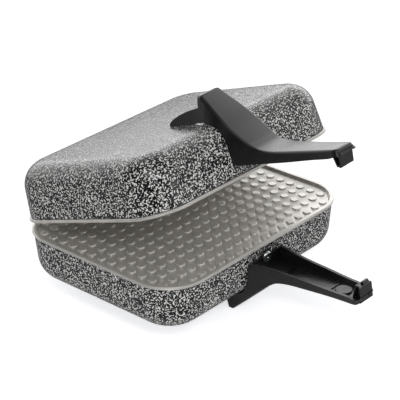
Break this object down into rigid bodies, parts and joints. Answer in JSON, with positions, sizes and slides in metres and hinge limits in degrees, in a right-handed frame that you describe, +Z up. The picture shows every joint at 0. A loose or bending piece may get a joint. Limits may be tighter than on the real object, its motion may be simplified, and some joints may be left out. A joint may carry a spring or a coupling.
{
  "type": "waffle iron",
  "caption": "Electric waffle iron with two hinged studded plates in rounded enamelled shells, each with a channel handle at the front.",
  "frame": {"origin": "centre of the whole iron's footprint, on the surface that it stands on", "axes": "+X to the right seen from the handles, +Y from the handles to the hinge, +Z up"},
  "size_m": [0.255, 0.3285, 0.2083],
  "materials": {
    "speckled_enamel": "glossy charcoal enamel with fine pale specks",
    "cast_plate": "satin coated casting",
    "black_plastic": "satin heat-proof moulding",
    "zinc_steel": "zinc-plated",
    "heater_sheath": "heat-darkened sheath",
    "reflector_sheet": "bright sheet",
    "white_ceramic": "glazed ceramic",
    "black_rubber": "matte",
    "glass_sleeve": "woven glass-fibre sleeving",
    "brass_contact": "bright"
  },
  "bodies": {
    "base": {"lower_shell": "speckled_enamel", "lower_plate": "cast_plate", "lower_handle": "black_plastic", "lower_handle_screw": "zinc_steel", "lower_hinge_bracket": "black_plastic", "lower_bracket_screw_left": "zinc_steel", "lower_bracket_screw_right": "zinc_steel", "lower_heater": "heater_sheath", "lower_heater_clamp_left": "zinc_steel", "lower_heater_clamp_right": "zinc_steel", "lower_clamp_screw_left": "zinc_steel", "lower_clamp_screw_right": "zinc_steel", "lower_reflector": "reflector_sheet", "lower_reflector_screw_left": "zinc_steel", "lower_reflector_screw_right": "zinc_steel", "lower_terminal_block": "white_ceramic", "lower_block_screw": "zinc_steel", "lower_heater_wire_left": "glass_sleeve", "lower_heater_wire_right": "glass_sleeve", "lower_link_lead": "glass_sleeve", "lower_grommet": "black_rubber", "rear_foot_pad_left": "black_rubber", "rear_foot_pad_right": "black_rubber", "hinge_pin": "zinc_steel", "hinge_clip_left": "zinc_steel", "hinge_clip_right": "zinc_steel", "thermostat": "zinc_steel", "thermostat_screw_left": "zinc_steel", "thermostat_screw_right": "zinc_steel", "thermostat_wire_left": "glass_sleeve", "thermostat_wire_right": "glass_sleeve", "inlet_housing": "black_plastic", "inlet_pin_front": "brass_contact", "supply_wire_front": "glass_sleeve", "inlet_pin_middle": "brass_contact", "supply_wire_middle": "glass_sleeve", "inlet_pin_rear": "brass_contact", "supply_wire_rear": "glass_sleeve"},
    "lid": {"upper_shell": "speckled_enamel", "upper_plate": "cast_plate", "upper_handle": "black_plastic", "upper_handle_screw": "zinc_steel", "upper_hinge_bracket": "black_plastic", "upper_bracket_screw_left": "zinc_steel", "upper_bracket_screw_right": "zinc_steel", "upper_heater": "heater_sheath", "upper_heater_clamp_left": "zinc_steel", "upper_heater_clamp_right": "zinc_steel", "upper_clamp_screw_left": "zinc_steel", "upper_clamp_screw_right": "zinc_steel", "upper_reflector": "reflector_sheet", "upper_reflector_screw_left": "zinc_steel", "upper_reflector_screw_right": "zinc_steel", "upper_terminal_block": "white_ceramic", "upper_block_screw": "zinc_steel", "upper_heater_wire_left": "glass_sleeve", "upper_heater_wire_right": "glass_sleeve", "upper_link_lead": "glass_sleeve", "upper_grommet": "black_rubber"}
  },
  "joints": [
    {"name": "lid_hinge", "type": "hinge", "parent": "base", "child": "lid", "pos_m": [0, 0.15675, 0.0769], "axis": [-1, 0, 0], "range_deg": [-19.15, 160.85]}
  ]
}
